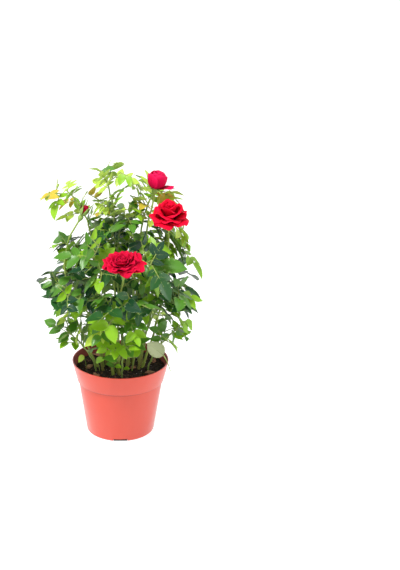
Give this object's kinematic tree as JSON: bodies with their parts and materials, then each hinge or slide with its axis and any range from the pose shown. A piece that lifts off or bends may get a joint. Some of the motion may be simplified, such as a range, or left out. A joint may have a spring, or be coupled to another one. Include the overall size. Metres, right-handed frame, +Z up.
{
  "type": "potted rose bush",
  "caption": "Miniature rose bush in a round tapered plastic pot, with compound leaves, open red blooms and a bud, to stand on a flat surface as a house plant.",
  "frame": {"origin": "middle of the pot's flat underside", "axes": "+Z up along the pot's axis, -Y towards the viewer in the picture, +X to the right"},
  "size_m": [0.199, 0.2002, 0.3474],
  "materials": {
    "pot_plastic": "satin salmon-red moulded plastic",
    "soil": "dark moist potting soil with bark and white grit",
    "cane": "smooth green living bark",
    "leaves": "semi-gloss dark green leaf",
    "low_leaves": "semi-gloss light green leaf",
    "young_leaves": "soft yellow-green young leaf",
    "petals": "velvety deep red petal"
  },
  "bodies": {
    "root": {"bloom_front": "petals", "bloom_right": "petals", "bloom_top": "petals", "bud": "petals", "cane_bloom_front": "cane", "cane_bloom_right": "cane", "cane_bloom_top": "cane", "cane_bud": "cane", "cane_centre": "cane", "cane_heart": "cane", "cane_left": "cane", "cane_middle_1": "cane", "cane_middle_2": "cane", "cane_middle_3": "cane", "cane_middle_4": "cane", "cane_middle_5": "cane", "cane_middle_6": "cane", "cane_right": "cane", "cane_tall": "cane", "cane_upper_1": "cane", "cane_upper_2": "cane", "cane_upper_3": "cane", "cane_upper_4": "cane", "cane_upper_5": "cane", "cane_young": "cane", "leaves_centre": "leaves", "leaves_heart": "leaves", "leaves_left": "young_leaves", "leaves_low_1": "low_leaves", "leaves_low_2": "low_leaves", "leaves_low_3": "low_leaves", "leaves_low_4": "low_leaves", "leaves_low_5": "low_leaves", "leaves_middle_1": "leaves", "leaves_middle_2": "leaves", "leaves_middle_3": "leaves", "leaves_middle_4": "leaves", "leaves_middle_5": "leaves", "leaves_middle_6": "leaves", "leaves_right": "leaves", "leaves_tall": "young_leaves", "leaves_upper_1": "leaves", "leaves_upper_2": "leaves", "leaves_upper_3": "leaves", "leaves_upper_4": "leaves", "leaves_upper_5": "leaves", "leaves_young": "young_leaves", "pot": "pot_plastic", "soil": "soil"}
  },
  "joints": []
}
